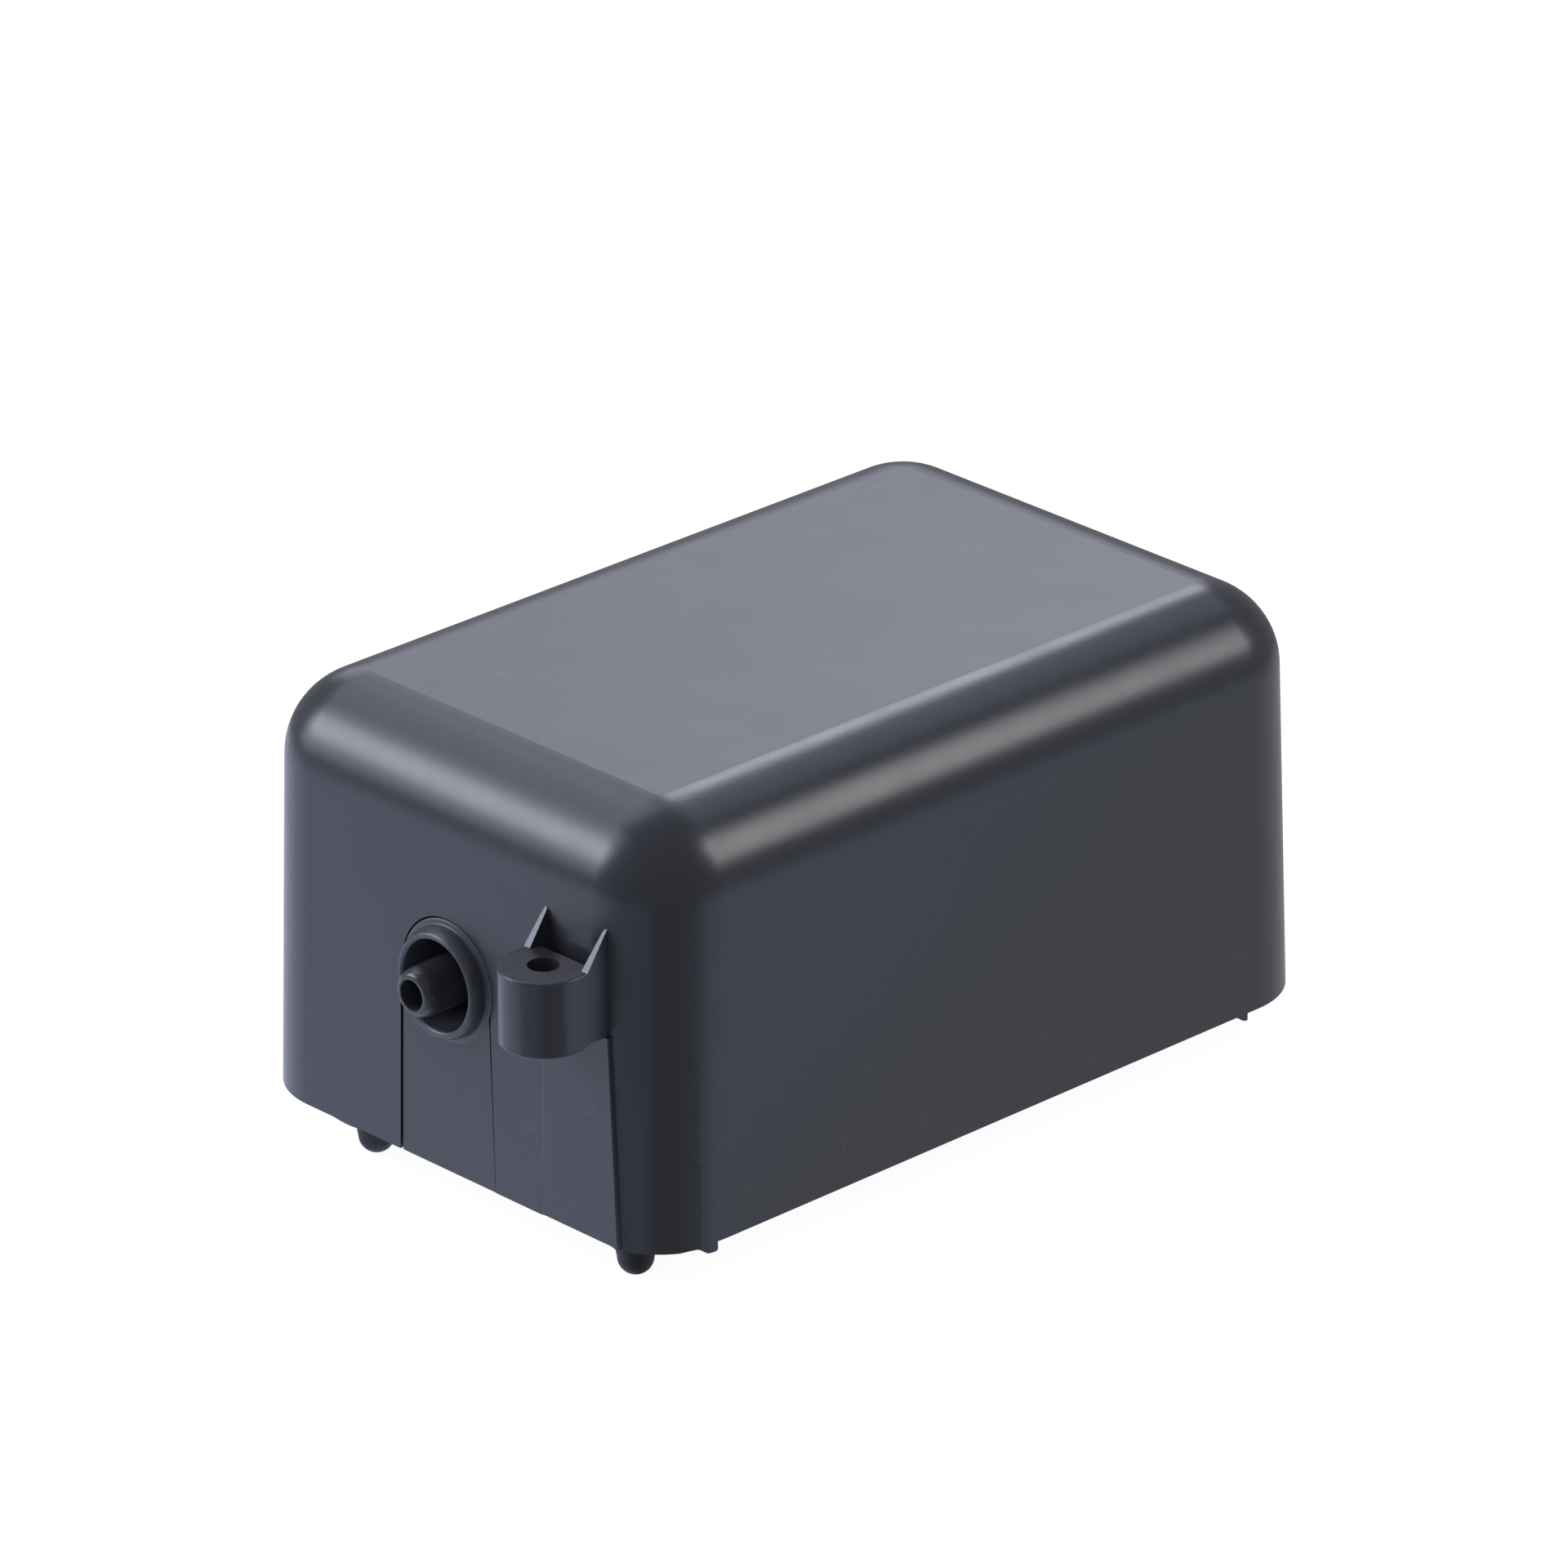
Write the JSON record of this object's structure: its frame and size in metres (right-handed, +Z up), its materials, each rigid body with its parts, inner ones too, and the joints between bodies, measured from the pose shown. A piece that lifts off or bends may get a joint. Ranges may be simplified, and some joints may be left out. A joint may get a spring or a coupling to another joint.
{
  "type": "air pump",
  "caption": "Boxy electromagnetic air pump with a rounded cover, front hose nozzle in a ringed recess, screw-down lugs and rubber feet, and a swing-arm diaphragm pump inside.",
  "frame": {"origin": "on the resting surface, under the middle of the part's bounding box", "axes": "+Z up, -Y out of the end wall with the air nozzle, X across the housing"},
  "size_m": [0.08, 0.144, 0.0646],
  "materials": {
    "housing_plastic": "satin dark blue-grey moulding",
    "base_plastic": "satin dark grey moulding",
    "black_rubber": "dull black",
    "grey_rubber": "dull grey",
    "white_plastic": "plain moulding",
    "steel": "zinc plated",
    "laminated_steel": "stacked sheet steel",
    "magnet": "sintered ferrite",
    "copper": "enamelled copper wire",
    "felt": "wool felt"
  },
  "bodies": {
    "housing": {"base_plate": "base_plastic", "cable_gland": "black_rubber", "coil_bobbin": "white_plastic", "coil_winding": "copper", "core_damper_left": "grey_rubber", "core_damper_right": "grey_rubber", "core_screw_left": "steel", "core_screw_right": "steel", "cover": "housing_plastic", "filter_cover": "base_plastic", "filter_felt": "felt", "foot_front_left": "black_rubber", "foot_front_right": "black_rubber", "foot_rear_left": "black_rubber", "foot_rear_right": "black_rubber", "housing_screw_front_left": "steel", "housing_screw_front_right": "steel", "housing_screw_rear_left": "steel", "housing_screw_rear_right": "steel", "left_clamp_ring": "white_plastic", "left_diaphragm": "black_rubber", "left_pivot_bush": "black_rubber", "left_pivot_pin": "steel", "left_valve_plate": "white_plastic", "magnet_core": "laminated_steel", "outlet_collar": "grey_rubber", "outlet_hose": "grey_rubber", "outlet_manifold": "housing_plastic", "right_clamp_ring": "white_plastic", "right_diaphragm": "black_rubber", "right_pivot_bush": "black_rubber", "right_pivot_pin": "steel", "right_valve_plate": "white_plastic", "valve_body": "white_plastic", "valve_screw_front": "steel", "valve_screw_rear": "steel"},
    "left_swing_arm": {"left_arm": "white_plastic", "left_magnet": "magnet", "left_washer": "steel", "left_diaphragm_screw": "steel"},
    "right_swing_arm": {"right_arm": "white_plastic", "right_magnet": "magnet", "right_washer": "steel", "right_diaphragm_screw": "steel"},
    "left_inlet_flap": {"left_inlet_flap": "black_rubber"},
    "left_outlet_flap": {"left_outlet_flap": "black_rubber"},
    "right_inlet_flap": {"right_inlet_flap": "black_rubber"},
    "right_outlet_flap": {"right_outlet_flap": "black_rubber"}
  },
  "joints": [
    {"name": "left_arm_pivot", "type": "hinge", "parent": "housing", "child": "left_swing_arm", "pos_m": [-0.02485, -0.044, 0], "axis": [0, 0, 1], "range_deg": [-2.5, 2.5], "stiffness_Nm_per_rad": 0.6, "deforming": ["left_diaphragm"]},
    {"name": "left_inlet_flap_hinge", "type": "hinge", "parent": "housing", "child": "left_inlet_flap", "pos_m": [-0.0124, -0.016, 0.0297], "axis": [0, 1, 0], "range_deg": [0, 12], "stiffness_Nm_per_rad": 0.0002},
    {"name": "left_outlet_flap_hinge", "type": "hinge", "parent": "housing", "child": "left_outlet_flap", "pos_m": [-0.0087, -0.016, 0.0424], "axis": [0, 1, 0], "range_deg": [-12, 0], "stiffness_Nm_per_rad": 0.0002},
    {"name": "right_arm_pivot", "type": "hinge", "parent": "housing", "child": "right_swing_arm", "pos_m": [0.02485, -0.044, 0], "axis": [0, 0, 1], "range_deg": [-2.5, 2.5], "stiffness_Nm_per_rad": 0.6, "deforming": ["right_diaphragm"]},
    {"name": "right_inlet_flap_hinge", "type": "hinge", "parent": "housing", "child": "right_inlet_flap", "pos_m": [0.0124, -0.016, 0.0297], "axis": [0, 1, 0], "range_deg": [-12, 0], "stiffness_Nm_per_rad": 0.0002},
    {"name": "right_outlet_flap_hinge", "type": "hinge", "parent": "housing", "child": "right_outlet_flap", "pos_m": [0.0087, -0.016, 0.0424], "axis": [0, 1, 0], "range_deg": [0, 12], "stiffness_Nm_per_rad": 0.0002}
  ],
  "couplings": [
    {"joint": "right_arm_pivot", "follows": "left_arm_pivot", "ratio": -1}
  ]
}
